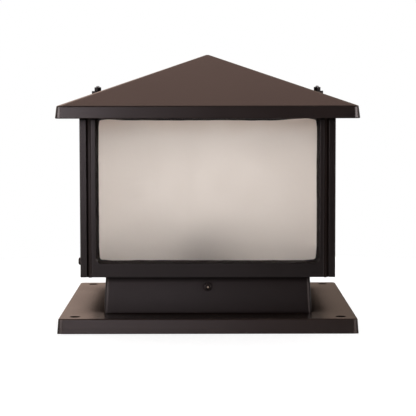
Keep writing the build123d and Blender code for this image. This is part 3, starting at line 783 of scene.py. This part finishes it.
def make_floor():
    """Pale round floor that keeps the object's shadow."""
    mesh = bpy.data.meshes.new("floor")
    build = bmesh.new()
    bmesh.ops.create_circle(build, cap_ends=True, segments=96, radius=FLOOR_RADIUS)
    build.to_mesh(mesh)
    build.free()
    floor = bpy.data.objects.new("floor", mesh)
    bpy.context.scene.collection.objects.link(floor)
    material, tree, shader = new_material("floor")
    set_inputs(tree, shader, {"Base Color": FLOOR_GREY, "Roughness": 0.7})
    seen, glossy = ray_shares(tree)
    spot = object_coords(tree)
    reach = node(tree, "VectorMath", {0: spot}, operation="LENGTH").outputs["Value"]
    aside = math_node(tree, "MAXIMUM", *sideways(tree, split(tree, spot)))
    # Painted shadow: the floor does not glow to the camera under the base plate
    clear = remap_mm(tree, aside, BASE_FOOT_HALF - 0.9, BASE_FOOT_HALF)
    level = math_node(tree, "MULTIPLY", clear, remap(tree, reach, *FLOOR_FADE, FLOOR_NEAR, 1.0))
    white = node(tree, "Emission", {"Strength": math_node(tree, "MULTIPLY", seen, level)})
    mirrored = node(tree, "Emission", {"Color": FLOOR_IN_METAL, "Strength": glossy})
    glow = node(tree, "AddShader", {0: white.outputs["Emission"], 1: mirrored.outputs["Emission"]})
    both = node(tree, "AddShader", {0: shader.outputs["BSDF"], 1: glow.outputs["Shader"]})
    set_inputs(tree, tree.nodes["Material Output"], {"Surface": both.outputs["Shader"]})
    mesh.materials.append(material)


def make_world():
    """White backdrop for camera and glass. Metal shows it dimmer, and dimmest on the camera's side."""
    world = bpy.data.worlds.new("studio")
    world.use_nodes = True
    tree = world.node_tree
    tree.nodes.clear()
    seen, glossy = ray_shares(tree)
    way = split(tree, node(tree, "TexCoord").outputs["Generated"])
    across = remap(tree, way["X"], *LEFT_TO_RIGHT)
    aside = math_node(tree, "ABSOLUTE", way["X"])
    horizon = mix_colour(tree, across, HORIZON_LEFT, HORIZON_RIGHT)
    backdrop = mix_colour(tree, across, BACKDROP_LEFT, BACKDROP_RIGHT)
    backdrop = mix_colour(tree, remap(tree, way["Z"], *HORIZON_TO_BACKDROP), horizon, backdrop)
    backdrop = mix_colour(tree, remap(tree, way["Z"], *BACKDROP_TO_HIGH), backdrop, BACKDROP_HIGH)
    front = mix_colour(tree, across, FRONT_LEFT, FRONT_RIGHT)
    front = mix_colour(tree, remap(tree, way["Z"], *FRONT_RISE), FRONT_LOW, front)
    metal_sees = mix_colour(tree, remap(tree, way["Y"], *FRONT_TO_REAR), front, backdrop)
    raised = remap(tree, way["Z"], *SIDE_RISE)
    sides = mix_colour(tree, across, SIDE_LEFT, SIDE_RIGHT)
    sides = mix_colour(tree, raised, SIDE_LOW, sides)
    metal_sees = mix_colour(tree, remap(tree, aside, *SIDE_START), metal_sees, sides)
    strip = remap(tree, aside, *STRIP_START)
    strip = math_node(tree, "MULTIPLY", strip, remap(tree, way["Y"], *STRIP_REAR_END, 1.0, 0.0))
    strip = math_node(tree, "MULTIPLY", strip, remap(tree, way["Z"], *STRIP_TOP, 1.0, 0.0))
    strips = mix_colour(tree, across, STRIP_LEFT, STRIP_RIGHT)
    strips = mix_colour(tree, raised, strips, STRIP_HIGH)
    metal_sees = mix_colour(tree, strip, metal_sees, strips)
    studio = mix_colour(tree, glossy, STUDIO_FILL, metal_sees)
    back = node(tree, "Background", {"Color": mix_colour(tree, seen, studio, WHITE), "Strength": 1.0})
    node(tree, "OutputWorld", {"Surface": back.outputs["Background"]})
    bpy.context.scene.world = world


def make_softbox(name, place, aim, width, height, power, colour, mirrored):
    """Rectangular soft light, mirrored in the coat or not."""
    data = bpy.data.lights.new(name, "AREA")
    data.shape = "RECTANGLE"
    data.size = width
    data.size_y = height
    data.energy = power
    data.color = colour
    light = bpy.data.objects.new(name, data)
    bpy.context.scene.collection.objects.link(light)
    light.location = place
    light.rotation_euler = (Vector(aim) - Vector(place)).to_track_quat("-Z", "Y").to_euler()
    light.visible_camera = False
    light.visible_glossy = mirrored


def make_camera():
    """Camera at the photograph's viewpoint: a long lens, a little above the eaves and tipped down."""
    data = bpy.data.cameras.new("camera")
    data.sensor_width = CAMERA_SENSOR
    data.lens = CAMERA_LENS
    data.shift_x, data.shift_y = CAMERA_SHIFT
    data.clip_end = CAMERA_END
    camera = bpy.data.objects.new("camera", data)
    bpy.context.scene.collection.objects.link(camera)
    tilt = Matrix.Rotation(math.radians(90.0 - CAMERA_DIP), 4, "X")
    roll = Matrix.Rotation(math.radians(CAMERA_ROLL), 4, "Z")
    camera.matrix_world = Matrix.Translation(CAMERA_PLACE) @ tilt @ roll
    bpy.context.scene.camera = camera


make_floor()
make_world()
for softbox in SOFTBOXES:
    make_softbox(*softbox)
make_camera()
bpy.context.scene.view_settings.view_transform = "Standard"
